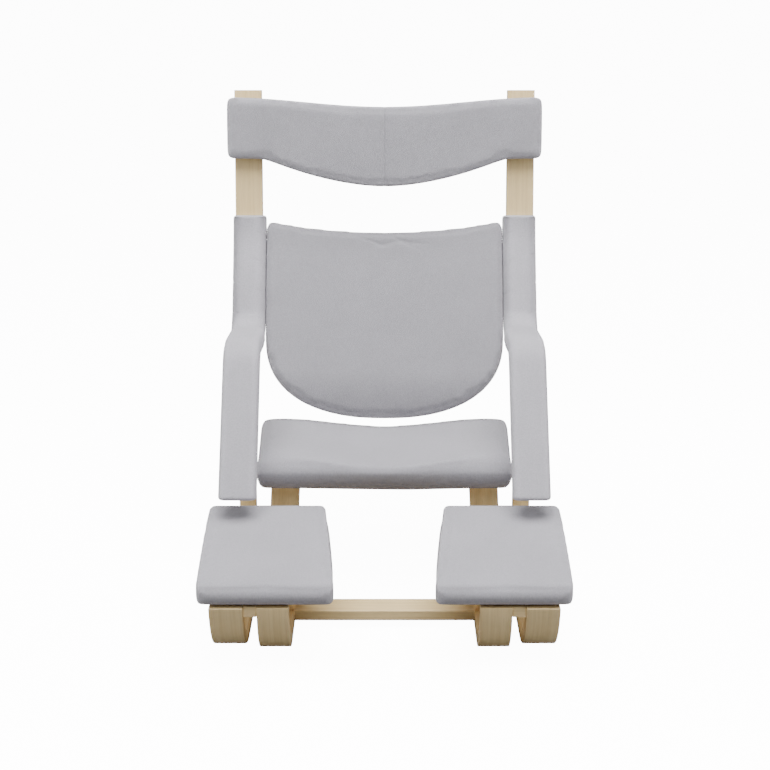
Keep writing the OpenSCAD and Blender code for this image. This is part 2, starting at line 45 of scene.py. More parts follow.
CLOTH_PALE = (0.44, 0.43, 0.465, 1)
CLOTH_DARK = (0.35, 0.34, 0.375, 1)
BIRCH_PALE = (0.86, 0.66, 0.35, 1)
BIRCH_DARK = (0.76, 0.57, 0.285, 1)
GLUE = (0.42, 0.30, 0.15, 1)
PLY_PALE = (0.72, 0.57, 0.37, 1)
PLY_DARK = (0.46, 0.31, 0.17, 1)
BLACK_PAINT = (0.022, 0.022, 0.025, 1)
BLACK_WORN = (0.07, 0.07, 0.075, 1)
ZINC_PALE = (0.62, 0.62, 0.64, 1)
ZINC_DARK = (0.42, 0.43, 0.46, 1)
NYLON = (0.018, 0.018, 0.020, 1)
NYLON_WORN = (0.05, 0.05, 0.055, 1)
RUBBER = (0.030, 0.029, 0.028, 1)
RUBBER_DUST = (0.11, 0.105, 0.10, 1)

# ---------- side profiles: [straight length, turn, bend radius], in millimetres and degrees ----------

FRONT_TO_MIDDLE = 450
STRIP = 3
WOOD = 26
SEAT_TILT = 4.5
POST_LEAN = 6.5
BACK_LEAN = 26
PAD_TILT = 6.7
RUNNER_START, RUNNER = (900, 0, 180), [[732, -82, 170]]
BEAM_START = (3.81, 127.7, -80)
BEAM = [[8, 80, 145], [112, 45, 150], [177.5, -40.5, 80], [123, 0, 0]]
POST_START = (786, 1013, -96.5)
POST = [[255, -3.5, 260]]
ELBOW = [[0, -16, 260], [139, -69, 70]]
ARM = [[122, 59, 69], [280, 0, 0]]
ARM_SLEEVE = [[122, 59, 69], [292, 0, 0]]
LEG_START, LEG = (755.9, 663.7, -116), [[118, 26, 90], [452, 90, 40], [45, 0, 0]]
STRUT_START, STRUT = (608, 210, -47), [[225, 47, 60], [46, 0, 0]]


def side_parts(start, route):
    """The straight runs and bends of a route, and where it ends.

    A part is ("line", y, z, heading, length) or ("arc", y, z, radius, heading, turn).
    """
    y, z, heading = start[0], start[1], math.radians(start[2])
    parts = []
    for length, turn, radius in route:
        if length:
            parts.append(("line", y, z, heading, length))
            y, z = y + length * math.cos(heading), z + length * math.sin(heading)
        if turn:
            s, sweep = math.copysign(1, turn), math.radians(turn)
            cy, cz = y - radius * s * math.sin(heading), z + radius * s * math.cos(heading)
            parts.append(("arc", cy, cz, radius, heading, sweep))
            heading += sweep
            y, z = cy + radius * s * math.sin(heading), cz - radius * s * math.cos(heading)
    return parts, (y, z, math.degrees(heading))


def in_place(y, z):
    """A side view point in millimetres, measured from the chair's front, as metres in the frame."""
    return (y - FRONT_TO_MIDDLE) / 1000, (z + STRIP) / 1000


class Tilted:
    """A frame turned about X, whose origin is a side view point. Works in metres."""

    def __init__(self, y, z, degrees):
        self.y, self.z = in_place(y, z)
        self.c, self.s = math.cos(math.radians(degrees)), math.sin(math.radians(degrees))

    def inside(self, co):
        """Frame coordinates of world points."""
        dy, dz = co[:, 1] - self.y, co[:, 2] - self.z
        return np.column_stack([co[:, 0], dy * self.c + dz * self.s, dz * self.c - dy * self.s])

    def outside(self, co):
        """World coordinates of points in this frame."""
        y, z = co[:, 1], co[:, 2]
        return np.column_stack([co[:, 0], self.y + y * self.c - z * self.s, self.z + y * self.s + z * self.c])


# y runs back and z up from the top front of the chest cushion, the low front of the seat and of the pads,
# and the top front of the posts
ON_BACK = Tilted(770, 700, -BACK_LEAN)
ON_SEAT = Tilted(392, 237, SEAT_TILT)
ON_PAD = Tilted(21, 126, PAD_TILT)
ON_POST = Tilted(786, 1013, -POST_LEAN)

# ---------- shader building ----------


class Shader:
    """A material whose nodes are added one short call at a time."""

    def __init__(self, name, roughness):
        self.material = bpy.data.materials.new(name)
        self.material.use_nodes = True
        self.tree = self.material.node_tree
        self.surface = self.tree.nodes["Principled BSDF"]
        self.surface.inputs["Roughness"].default_value = roughness
        coordinates = self.tree.nodes.new("ShaderNodeTexCoord")
        self.place, self.normal = coordinates.outputs["Object"], coordinates.outputs["Normal"]
        self.x, self.y, self.z = self.split(self.place)

    def feed(self, socket, value):
        if isinstance(value, bpy.types.NodeSocket):
            self.tree.links.new(value, socket)
        else:
            socket.default_value = value

    def put(self, kind, sockets, **settings):
        node = self.tree.nodes.new("ShaderNode" + kind)
        for key, value in settings.items():
            setattr(node, key, value)
        for key, value in sockets.items():
            self.feed(node.inputs[key], value)
        return node

    def calc(self, operation, *values):
        return self.put("Math", dict(enumerate(values)), operation=operation).outputs[0]

    def vector(self, operation, *values):
        node = self.put("VectorMath", dict(enumerate(values)), operation=operation)
        return node.outputs["Value" if operation in ("LENGTH", "DOT_PRODUCT") else "Vector"]

    def split(self, vector):
        return self.put("SeparateXYZ", {0: vector}).outputs

    def join(self, x, y, z):
        return self.put("CombineXYZ", {0: x, 1: y, 2: z}).outputs[0]

    def noise(self, vector, scale, detail=2.0, rough=0.5):
        sockets = {"Vector": vector, "Scale": scale, "Detail": detail, "Roughness": rough}
        return self.put("TexNoise", sockets).outputs["Fac"]

    def ramp(self, value, low, high, to_low=0.0, to_high=1.0):
        sockets = {"Value": value, 1: low, 2: high, 3: to_low, 4: to_high}
        return self.put("MapRange", sockets, interpolation_type="SMOOTHSTEP").outputs[0]

    def mix(self, share, a, b):
        return self.put("Mix", {0: share, 6: a, 7: b}, data_type="RGBA").outputs[2]

    def shade(self, colour, factor):
        """A colour multiplied by a factor that varies over the surface."""
        grey = self.join(factor, factor, factor)
        sockets = {0: 1.0, 6: colour, 7: grey}
        return self.put("Mix", sockets, data_type="RGBA", blend_type="MULTIPLY").outputs[2]

    def finish(self, colour, height, depth, roughness=None):
        """Links colour, relief depth in metres and optional roughness to the surface."""
        self.feed(self.surface.inputs["Base Color"], colour)
        bump = self.put("Bump", {"Height": height, "Distance": depth, "Strength": 1.0})
        self.feed(self.surface.inputs["Normal"], bump.outputs[0])
        if roughness is not None:
            self.feed(self.surface.inputs["Roughness"], roughness)
        return self.material


def set_uniform(shader, **values):
    """Sets numbers that are the same all over on the shader's own sockets."""
    for name, value in values.items():
        shader.surface.inputs[name.replace("_", " ")].default_value = value

# ---------- fabric ----------


THREAD = 0.0021
FABRIC_RELIEF = 0.00035
MELANGE_SCALE, BLOTCH_SCALE = 420.0, 9.0
SLUB_STRETCH = (900.0, 900.0, 60.0)
STITCH_PITCH, STITCH_ASIDE, STITCH_HALF = 0.006, 0.0042, 0.0006
SEAM_FROM, SEAM_TO = 0.0002, 0.0016


def weave(s):
    """Height of a plain weave, seen along the surface's own direction."""
    turns = 2 * math.pi / THREAD
    waves = [s.calc("SINE", s.calc("MULTIPLY", axis, turns)) for axis in (s.x, s.y, s.z)]
    facing = [s.calc("POWER", s.calc("ABSOLUTE", axis), 4.0) for axis in s.split(s.normal)]
    total = s.calc("ADD", s.calc("ADD", facing[0], facing[1]), facing[2])
    height = 0.0
    for i in range(3):
        cross = s.calc("MULTIPLY", waves[(i + 1) % 3], waves[(i + 2) % 3])
        height = s.calc("MULTIPLY_ADD", cross, s.calc("DIVIDE", facing[i], total), height)
    return height


def fabric(name, painted_brightness=1.0, seam_x=None):
    """Light grey woven wool mix. Its second argument makes a copy brighter or darker, painting on each part
    the light or shade that falls there. seam_x draws a sewn seam where X is that value.
    """
    s = Shader(name, 0.88)
    threads = weave(s)
    melange = s.noise(s.place, MELANGE_SCALE, 3.0, 0.65)
    blotch = s.noise(s.place, BLOTCH_SCALE, 2.0)
    slub = s.noise(s.vector("MULTIPLY", s.place, SLUB_STRETCH), 1.0, 1.0)
    yarn = s.calc("ADD", s.calc("MULTIPLY", melange, 0.75), s.calc("MULTIPLY", slub, 0.25))
    tone = s.ramp(yarn, 0.32, 0.68)
    colour = s.mix(tone, CLOTH_DARK, CLOTH_PALE)
    # Painted light and shade: the whole cloth is scaled brighter or darker for the part it covers
    colour = s.shade(colour, s.ramp(blotch, 0.3, 0.7, 0.965 * painted_brightness, 1.02 * painted_brightness))
    # Painted shade and highlight: darker where the weave lies low, lighter on its raised crossings
    colour = s.shade(colour, s.ramp(threads, -1.0, 1.0, 0.93, 1.03))
    # Painted shade and highlight: darker in creases and hollows, lighter on rounded edges
    edge = s.put("NewGeometry", {}).outputs["Pointiness"]
    colour = s.shade(colour, s.ramp(edge, 0.49, 0.53, 0.97, 1.04))
    height = s.calc("MULTIPLY_ADD", threads, 0.5, s.calc("MULTIPLY", melange, 0.6))
    if seam_x is not None:
        away = s.calc("ABSOLUTE", s.calc("SUBTRACT", s.x, seam_x))
        thread_rows = s.calc("COMPARE", away, STITCH_ASIDE, STITCH_HALF)
        stitches = s.ramp(s.calc("SINE", s.calc("MULTIPLY", s.z, 2 * math.pi / STITCH_PITCH)), -0.2, 0.2)
        stitches = s.calc("MULTIPLY", thread_rows, stitches)
        # Painted shade: the seam's groove is painted darker as well as pressed in
        gap = s.ramp(away, SEAM_FROM, SEAM_TO, 1.0, 0.0)
        colour = s.shade(colour, s.calc("MULTIPLY_ADD", gap, -0.13, 1.0))
        colour = s.shade(colour, s.calc("MULTIPLY_ADD", stitches, -0.05, 1.0))
        height = s.calc("MULTIPLY_ADD", gap, -1.2, height)
        height = s.calc("MULTIPLY_ADD", stitches, 1.2, height)
    set_uniform(s, Sheen_Weight=0.18, Sheen_Roughness=0.45, Specular_IOR_Level=0.25)
    return s.finish(colour, height, FABRIC_RELIEF)

# ---------- wood ----------

MEMBER_REACH = 0.034
VENEER, PLY_VENEER, SHELL_VENEER, SOLID = 0.0029, 0.0015, 0.0014, 0.03
LAYER_CONTRAST, PLY_CONTRAST = 0.22, 0.9
FIBRE_STRETCH, FIGURE_STRETCH = 0.035, 0.12
WOOD_RELIEF = 0.00018


def beside_route(s, start, route, rise=0.0):
    """How far a point lies to the left of a route, in metres, found from its straight runs and bends."""
    flat = s.vector("MULTIPLY", s.place, (0.0, 1.0, 1.0))
    total = 0.0
    for part in side_parts(start, route)[0]:
        y, z = in_place(part[1], part[2] + rise)
        arm = s.vector("SUBTRACT", flat, (0.0, y, z))
        if part[0] == "line":
            heading, length = part[3], part[4] / 1000
            along = s.vector("DOT_PRODUCT", arm, (0.0, math.cos(heading), math.sin(heading)))
            offset = s.vector("DOT_PRODUCT", arm, (0.0, -math.sin(heading), math.cos(heading)))
            after, before = s.calc("GREATER_THAN", along, 0.0), s.calc("LESS_THAN", along, length)
        else:
            radius, heading, sweep = part[3] / 1000, part[4], part[5]
            side, end = math.copysign(1, sweep), part[4] + part[5]
            reach = s.vector("LENGTH", arm)
            offset = s.calc("MULTIPLY", s.calc("SUBTRACT", radius, reach), side)
            past = s.vector("DOT_PRODUCT", arm, (0.0, math.cos(heading), math.sin(heading)))
            left = s.vector("DOT_PRODUCT", arm, (0.0, math.cos(end), math.sin(end)))
            after, before = s.calc("GREATER_THAN", past, 0.0), s.calc("LESS_THAN", left, 0.0)
        inside = s.calc("MULTIPLY", after, before)
        inside = s.calc("MULTIPLY", inside, s.calc("COMPARE", offset, 0.0, MEMBER_REACH))
        total = s.calc("MULTIPLY_ADD", inside, offset, total)
    return total


def layered_wood(s, across, depth, along, veneer, pale, dark, contrast):
    """Grain that runs along the piece, with veneers stacked through its depth."""
    fibre = s.join(across, depth, s.calc("MULTIPLY", along, FIBRE_STRETCH))
    streaks = s.noise(fibre, 130.0, 4.0, 0.62)
    pores = s.noise(fibre, 900.0, 2.0, 0.5)
    figure = s.noise(s.join(across, depth, s.calc("MULTIPLY", along, FIGURE_STRETCH)), 24.0, 3.0, 0.55)
    layers = s.calc("ADD", s.calc("DIVIDE", depth, veneer), 0.5)
    which = s.put("TexWhiteNoise", {"W": s.calc("FLOOR", layers)}, noise_dimensions="1D").outputs["Value"]
    tone = s.calc("ADD", s.calc("MULTIPLY", s.ramp(streaks, 0.3, 0.7), 0.6), s.calc("MULTIPLY", figure, 0.4))
    tone = s.calc("MULTIPLY_ADD", which, contrast, s.calc("SUBTRACT", tone, 0.5 * contrast))
    colour = s.mix(s.ramp(tone, 0.1, 0.9), dark, pale)
    from_middle = s.calc("ABSOLUTE", s.calc("SUBTRACT", s.calc("FRACT", layers), 0.5))
    line = s.ramp(from_middle, 0.455, 0.5)
    colour = s.mix(s.calc("MULTIPLY", line, 0.55), colour, GLUE)
    colour = s.shade(colour, s.ramp(pores, 0.30, 0.45, 0.90, 1.0))
    rub = s.noise(s.place, 14.0, 3.0, 0.6)
    roughness = s.ramp(rub, 0.35, 0.65, 0.38, 0.52)
    height = s.calc("SUBTRACT", s.calc("MULTIPLY", pores, 0.5), s.calc("MULTIPLY", line, 0.6))
    height = s.calc("MULTIPLY_ADD", streaks, 0.5, height)
    set_uniform(s, Specular_IOR_Level=0.45, Coat_Weight=0.12, Coat_Roughness=0.35)
    return s.finish(colour, height, WOOD_RELIEF, roughness)


def bent_wood(name, start, route, rise=0.0):
    """Veneers bent along a route, which starts rise millimetres higher."""
    s = Shader(name, 0.45)
    offset = beside_route(s, start, route, rise)
    along = s.calc("ADD", s.y, s.z)
    return layered_wood(s, s.x, offset, along, VENEER, BIRCH_PALE, BIRCH_DARK, LAYER_CONTRAST)


def straight_wood(name, depth_direction, across_direction, bow=0.0, veneer=VENEER, ply=False):
    """Wood whose grain runs along X. bow is the radius of a board that is curved in plan."""
    s = Shader(name, 0.45)
    depth = s.vector("DOT_PRODUCT", s.place, depth_direction)
    if bow:
        depth = s.calc("MULTIPLY_ADD", s.calc("MULTIPLY", s.x, s.x), 0.5 / bow, depth)
    across = s.vector("DOT_PRODUCT", s.place, across_direction)
    if ply:
        return layered_wood(s, across, depth, s.x, veneer, PLY_PALE, PLY_DARK, PLY_CONTRAST)
    return layered_wood(s, across, depth, s.x, veneer, BIRCH_PALE, BIRCH_DARK, LAYER_CONTRAST)

# ---------- metal, plastic and rubber ----------


def worn(name, base, rubbed, roughness, metal, grain_scale, depth):
    """A finish that is rubbed paler in patches and along exposed edges."""
    s = Shader(name, roughness)
    scratches = s.noise(s.vector("MULTIPLY", s.place, (1.0, 9.0, 1.0)), 160.0, 3.0, 0.7)
    grain = s.noise(s.place, grain_scale, 3.0, 0.6)
    patches = s.noise(s.place, 38.0, 4.0, 0.6)
    wear = s.calc("MULTIPLY", s.ramp(scratches, 0.55, 0.75), s.ramp(patches, 0.45, 0.65))
    edge = s.put("NewGeometry", {}).outputs["Pointiness"]
    wear = s.calc("MAXIMUM", wear, s.calc("MULTIPLY", s.ramp(edge, 0.52, 0.60), 0.7))
    colour = s.mix(wear, base, rubbed)
    colour = s.shade(colour, s.ramp(grain, 0.3, 0.7, 0.9, 1.1))
    set_uniform(s, Metallic=metal)
    rough = s.ramp(patches, 0.3, 0.7, roughness - 0.07, roughness + 0.09)
    return s.finish(colour, s.calc("MULTIPLY_ADD", scratches, -0.3, grain), depth, rough)

# ---------- mesh helpers ----------


def new_object(name, mesh, material, body):
    """A shown piece that rides on a CAD body."""
    obj = bpy.data.objects.new(name, mesh)
    bpy.context.scene.collection.objects.link(obj)
    obj.data.materials.clear()
    obj.data.materials.append(material)
    for polygon in obj.data.polygons:
        polygon.use_smooth = True
    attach(obj, body)
    return obj


def applied(obj):
    """The object's mesh with its modifiers worked in."""
    graph = bpy.context.evaluated_depsgraph_get()
    return bpy.data.meshes.new_from_object(obj.evaluated_get(graph))


def settle(obj):
    """Works an object's modifiers into its mesh."""
    mesh = applied(obj)
    obj.modifiers.clear()
    obj.data = mesh
    return mesh


def points_of(mesh, kind="co"):
    out = np.zeros(len(mesh.vertices) * 3)
    mesh.vertices.foreach_get(kind, out)
    return out.reshape(-1, 3)


def set_points(mesh, co):
    mesh.vertices.foreach_set("co", co.astype(np.float32).ravel())
    mesh.update()


def mesh_from(name, vertices, faces):
    mesh = bpy.data.meshes.new(name)
    mesh.from_pydata([tuple(v) for v in vertices], [], faces)
    mesh.validate()
    return mesh

# ---------- stuffed cushions ----------

CLOTH_FRAMES = 20
CLOTH_PRESSURE = 4.0
VOXEL, HEAD_VOXEL = 0.005, 0.0045
ROUNDING = 4
SWELL, HEAD_SWELL = 0.004, 0.003
# Parts of a cushion that rest on their board: below this height and behind this front strip, in metres
BOARD_HEIGHT, FREE_FRONT = 0.008, 0.03
# The chest cushion's rear and the headrest's, which follow the bow of their boards
BACK_BOW, BACK_HELD = 2.406, 0.032
HEAD_BEND_HALF, HEAD_BOW, HEAD_HELD = 0.262, 0.018, -0.018


def soft_blank(name, node, voxel=VOXEL):
    """A remeshed and rounder copy of a CAD cushion."""
    blank = bpy.data.objects.new(name, NODES[node].data.copy())
    bpy.context.scene.collection.objects.link(blank)
    blank.modifiers.new("weld", "WELD").merge_threshold = 0.0001
    remesh = blank.modifiers.new("remesh", "REMESH")
    remesh.mode, remesh.voxel_size = "VOXEL", voxel
    smooth = blank.modifiers.new("smooth", "SMOOTH")
    smooth.factor, smooth.iterations = 0.5, ROUNDING
    settle(blank)
    return blank


def add_cloth(blank, held):
    """Cloth that swells under pressure and stays still where held says so."""
    group = blank.vertex_groups.new(name="held")
    group.add([int(i) for i in np.nonzero(held)[0]], 1.0, "ADD")
    cloth = blank.modifiers.new("cloth", "CLOTH")
    settings = cloth.settings
    settings.quality, settings.mass = 5, 0.3
    settings.use_pressure, settings.uniform_pressure_force = True, CLOTH_PRESSURE
    settings.effector_weights.gravity = 0
    settings.vertex_group_mass = "held"
    cloth.point_cache.frame_start, cloth.point_cache.frame_end = 1, CLOTH_FRAMES


def run_cloth(blanks, caps):
    """Runs every cushion's cloth and keeps how far each point swelled outwards, up to its cap."""
    before = {b.name: points_of(b.data) for b in blanks}
    normals = {b.name: points_of(b.data, "normal") for b in blanks}
    scene = bpy.context.scene
    for f in range(1, CLOTH_FRAMES + 1):
        scene.frame_set(f)
    swollen = {b.name: applied(b) for b in blanks}
    scene.frame_set(1)
    for blank in blanks:
        moved = points_of(swollen[blank.name]) - before[blank.name]
        swell = (moved * normals[blank.name]).sum(1, keepdims=True)
        blank.modifiers.clear()
        swell = np.clip(swell, 0, caps[blank.name])
        set_points(blank.data, before[blank.name] + normals[blank.name] * swell)


def refine(blank):
    """One subdivision of a cushion, worked into its mesh."""
    blank.vertex_groups.clear()
    blank.modifiers.new("calm", "SMOOTH").iterations = ROUNDING
    blank.modifiers.new("fine", "SUBSURF").levels = 1
    return settle(blank)


def refit(mesh, node, local):
    """Stretches a cushion back to the extents of its CAD node, along the axes of its own frame."""
    p, cad = local.inside(points_of(mesh)), local.inside(points_of(NODES[node].data))
    low, high = p.min(0), p.max(0)
    fitted = cad.min(0) + (p - low) * (cad.max(0) - cad.min(0)) / (high - low)
    set_points(mesh, local.outside(fitted))


def dent(mesh, depth):
    """Moves every point inwards along its normal by depth, an array in metres."""
    set_points(mesh, points_of(mesh) - depth[:, None] * points_of(mesh, "normal"))


# The CAD knee pad's crown: height, fall from it, its place and the half length of the fall, in metres
CAD_CROWN, CAD_FALL, CAD_PEAK, CAD_RUN = 0.062, 0.012, 0.170, 0.163
# The cover's fuller crown: height and place, then fall and its length to the front and to the rear
CROWN, PEAK = 0.0655, 0.250
FRONT_FALL, FRONT_RUN, REAR_FALL, REAR_RUN = 0.018, 0.23, 0.003, 0.06
MOST_LOWERED, MOST_RAISED = 0.004, 0.011
# The cover's outer side: how far it stands proud, and where that starts and how it builds up
PROUD, PROUD_FROM, PROUD_RUN = 0.005, 0.24, 0.10
KNEE_MARK, KNEE_X, KNEE_Y = 0.0022, 0.235, 0.16
# The seat: extra height at the top, drop of the front edge, widening to the rear, sit marks
SEAT_FULL, SEAT_LIP, SEAT_LIP_DEPTH = 0.005, 0.013, 0.050
SEAT_WIDER, SEAT_WIDER_FROM, SEAT_WIDER_RUN = 0.02, 0.06, 0.19
SIT_MARK, SIT_X, SIT_Y, SIT_SIZE = 0.0028, 0.10, 0.14, 0.07
# The chest cushion: how its lower front rolls under, its width and its top edge
ROLL, ROLL_FROM, ROLL_LENGTH = 0.026, 0.310, 0.095
BACK_WIDER, BACK_TALLER, BACK_TALLER_RUN = 1.0165, 0.004, 0.12
BACK_HOLLOW = 2.4
BACK_DEPTH = 0.036
# Gathers beside the middle of the chest cushion's top edge: x, z, slope and width of each
GATHERS = ((-0.030, -0.016, 0.35, 0.005), (0.006, -0.022, -0.2, 0.006),
           (0.034, -0.014, 0.5, 0.005), (0.058, -0.020, 0.15, 0.006))
GATHER_DEPTH, GATHER_LENGTH = 0.0016, 0.030
HEAD_SEAM_DEPTH, HEAD_SEAM_WIDTH = 0.0005, 0.005


def bell(value, width):
    """1 where value is nought, falling off smoothly over width."""
    return np.exp(-(value / width) ** 2)


def mirrored(mesh):
    """The mesh reflected in the chair's middle plane."""
    other = mesh.copy()
    set_points(other, points_of(mesh) * (-1, 1, 1))
    other.flip_normals()
    return other


def shape_knee_pad(mesh):
    """A crown that is fullest towards the rear, and a shallow mark where the knee rests."""
    p = ON_PAD.inside(points_of(mesh))
    x, y, z = p.T
    plain = CAD_CROWN - CAD_FALL * ((y - CAD_PEAK) / CAD_RUN) ** 2
    front, rear = np.clip(PEAK - y, 0, None), np.clip(y - PEAK, 0, None)
    full = CROWN - FRONT_FALL * (front / FRONT_RUN) ** 2 - REAR_FALL * (rear / REAR_RUN) ** 2
    z += np.clip(full - plain, -MOST_LOWERED, MOST_RAISED) * np.clip(z / plain, 0, 1)
    x -= PROUD * np.clip((-x - PROUD_FROM) / PROUD_RUN, 0, 1)
    set_points(mesh, ON_PAD.outside(p))
    middle = bell(np.abs(x) - KNEE_X, 0.075) * bell(y - KNEE_Y, 0.11)
    top = np.clip(z / 0.05, 0, 1) ** 2
    dent(mesh, KNEE_MARK * middle * top)


def shape_seat(mesh):
    """A front edge that hangs below the board, full sides and two shallow sit marks."""
    p = ON_SEAT.inside(points_of(mesh))
    x, y, z = p.T
    low = np.clip(1 - z / 0.03, 0, 1)
    lip = low * np.clip((SEAT_LIP_DEPTH - y) / 0.012, 0, 1)
    z += SEAT_FULL * np.clip(z / 0.05, 0, 1) - SEAT_LIP * lip
    x *= 1 + SEAT_WIDER * np.clip((y - SEAT_WIDER_FROM) / SEAT_WIDER_RUN, 0, 1)
    set_points(mesh, ON_SEAT.outside(p))
    top = np.clip(z / 0.04, 0, 1) ** 2
    sit = bell(np.abs(x) - SIT_X, SIT_SIZE) * bell(y - SIT_Y, SIT_SIZE)
    dent(mesh, SIT_MARK * sit * top)


def shape_back(mesh):
    """A front that rolls under towards the bottom, and small gathers at the middle of the top edge."""
    p = ON_BACK.inside(points_of(mesh))
    x, y, z = p.T
    low = np.clip((-z - ROLL_FROM) / ROLL_LENGTH, 0, 1)
    y += ROLL * low ** 2 * np.clip(1 - (y + x * x / BACK_HOLLOW) / BACK_DEPTH, 0, 1)
    x *= BACK_WIDER
    z += BACK_TALLER * np.clip(1 + z / BACK_TALLER_RUN, 0, 1)
    set_points(mesh, ON_BACK.outside(p))
    front = np.clip((0.02 - y - x * x / BACK_HOLLOW) / 0.02, 0, 1)
    gathers = 0.0
    for cx, cz, tilt, width in GATHERS:
        across = (z - cz) + tilt * (x - cx)
        gathers = gathers + bell(across, width) * bell(x - cx, GATHER_LENGTH)
    dent(mesh, GATHER_DEPTH * gathers * front)


def shape_headrest(mesh):
    """A sewn seam down the middle."""
    p = ON_POST.inside(points_of(mesh))
    dent(mesh, HEAD_SEAM_DEPTH * bell(p[:, 0], HEAD_SEAM_WIDTH))

# ---------- padded sleeves, swept along the arms, in millimetres ----------

SLEEVE_IN, SLEEVE_OUT = 257, 330
SLEEVE_MIDDLE = (SLEEVE_IN + SLEEVE_OUT) / 2
POST_SLEEVE_IN = 260
POST_IN, POST_OUT = 267, 326
PAD, ARM_PAD = 16, 18
WRAP = 6
SLEEVE_CORNER, LEAST_CORNER = 15.0, 5.0
SLEEVE_CROWN = 2.2
POST_ROUND, ARM_ROUND_TOP, ARM_ROUND_END = 7.0, 11.0, 8.0
END_SLANT, SLANT_LENGTH = 0.35, 70
STEP = 5.0
# Distances from each end at which a rounded end gets an extra ring
END_RINGS = (0.4, 1.2, 2.5, 4.2, 6.5)


def stations(start, route):
    """Evenly spaced (y, z, heading, distance) along a route, in millimetres and radians."""
    out, run = [], 0.0
    for part in side_parts(start, route)[0]:
        length = part[4] if part[0] == "line" else abs(part[5]) * part[3]
        count = max(1, round(length / STEP))
        for k in range(count + 1):
            t = k / count
            if part[0] == "line":
                y = part[1] + t * length * math.cos(part[3])
                z, heading = part[2] + t * length * math.sin(part[3]), part[3]
            else:
                heading, side = part[4] + t * part[5], math.copysign(1, part[5])
                y = part[1] + part[3] * side * math.sin(heading)
                z = part[2] - part[3] * side * math.cos(heading)
            if not out or k:
                out.append((y, z, heading, run + t * length))
        run += length
    return out


def corner(cx, cy, radius, start, count=6):
    """A quarter turn of an outline, running anticlockwise."""
    angles = np.linspace(math.radians(start), math.radians(start + 90), count)
    return [(cx + radius * math.cos(a), cy + radius * math.sin(a)) for a in angles]


def closed_section(inset):
    """Outline of an arm's padding: x across, y away from the wood's front face."""
    x0, x1, y0, y1 = SLEEVE_IN + inset, SLEEVE_OUT - inset, -ARM_PAD + inset, WOOD + WRAP - inset
    r = max(LEAST_CORNER, SLEEVE_CORNER - inset)
    points = (corner(x1 - r, y1 - r, r, 0) + corner(x0 + r, y1 - r, r, 90)
              + corner(x0 + r, y0 + r, r, 180) + corner(x1 - r, y0 + r, r, 270))
    return crowned(points)


def crowned(points):
    """Adds points between corners and pushes the sides out a little."""
    dense = []
    for i, p in enumerate(points):
        q = points[(i + 1) % len(points)]
        gap = math.dist(p, q)
        dense.append(p)
        if gap > 12:
            n = round(gap / 6)
            out = ((q[1] - p[1]) / gap, (p[0] - q[0]) / gap)
            for k in range(1, n):
                lift = SLEEVE_CROWN * math.sin(math.pi * k / n)
                dense.append((p[0] + (q[0] - p[0]) * k / n + out[0] * lift,
                              p[1] + (q[1] - p[1]) * k / n + out[1] * lift))
    return dense


def open_section(inset):
    """Outline of a post's padding, open behind so that the wood shows."""
    x0, x1, y0 = POST_SLEEVE_IN + inset, SLEEVE_OUT - inset, -PAD + inset
    r = max(LEAST_CORNER, SLEEVE_CORNER - inset)
    outer = [(x1, WOOD - 2), (x1 - 1, WOOD)]
    shell = (corner(x0 + r, y0 + r, r, 180) + corner(x1 - r, y0 + r, r, 270))
    inner = [(POST_OUT + 0.5, WOOD), (POST_OUT + 0.4, -0.4),
             (POST_IN - 0.4, -0.4), (POST_IN - 0.5, WOOD)]
    rim = [(x0 + 3, WOOD), (x0, WOOD - 3)]
    shell = crowned(rim[1:] + shell + outer[:1])
    return shell + outer[1:] + inner + rim[:1]


def end_inset(distance, radius):
    """How far a section is drawn in near a rounded end."""
    if distance >= radius:
        return 0.0
    return radius - math.sqrt(max(0.0, radius ** 2 - (radius - distance) ** 2))


def with_end_rings(line):
    """The stations of a line, with extra ones close to both ends."""
    total = line[-1][3]
    near = [r for r in END_RINGS if r < total]
    dense = list(line)
    for distance in near + [total - e for e in near]:
        i = next(k for k in range(1, len(line)) if line[k][3] >= distance - 1e-9)
        a, b = line[i - 1], line[i]
        t = (distance - a[3]) / (b[3] - a[3])
        dense.append(tuple(a[k] + t * (b[k] - a[k]) for k in range(4)))
    return sorted(set(dense), key=lambda station: station[3])


def skin(name, rings):
    """A closed mesh through rings that have the same number of points."""
    n = len(rings[0])
    vertices = [v for ring in rings for v in ring]
    faces = []
    for i in range(len(rings) - 1):
        for j in range(n):
            a, b = i * n + j, i * n + (j + 1) % n
            faces.append((a, b, b + n, a + n))
    faces.append(tuple(range(n))[::-1])
    faces.append(tuple(range(len(vertices) - n, len(vertices))))
    mesh = mesh_from(name, vertices, faces)
    outward(mesh)
    return mesh


def swept(name, side, line, section, round_start, round_end, puckers, slant=0.0):
    """Padding swept along a line, with rounded ends, a slanted lower end and small puckers."""
    total = line[-1][3]
    rings = []
    for y, z, heading, run in with_end_rings(line):
        inset = max(end_inset(run, round_start), end_inset(total - run, round_end))
        ring = []
        for x, off in section(inset):
            scale = 1 - puckers(run, total - run, x) / WOOD
            x = (x - SLEEVE_MIDDLE) * scale + SLEEVE_MIDDLE
            off = off * scale if off < 0 else off
            shift = -slant * off * max(0.0, 1 - (total - run) / SLANT_LENGTH)
            py, pz = in_place(y - off * math.sin(heading) + shift * math.cos(heading),
                              z + off * math.cos(heading) + shift * math.sin(heading))
            ring.append((side * x / 1000, py, pz))
        rings.append(ring)
    return skin(name, rings)


def outward(mesh):
    """Makes every face look outwards."""
    work = bmesh.new()
    work.from_mesh(mesh)
    bmesh.ops.recalc_face_normals(work, faces=work.faces)
    work.to_mesh(mesh)
    work.free()


def post_puckers(_, from_elbow, x):
    """Folds across the post's padding just above the elbow."""
    wave = math.sin(2 * math.pi * from_elbow / 17.0 + 0.02 * x)
    return 0.5 * max(0.0, wave) * math.exp(-from_elbow / 26.0)


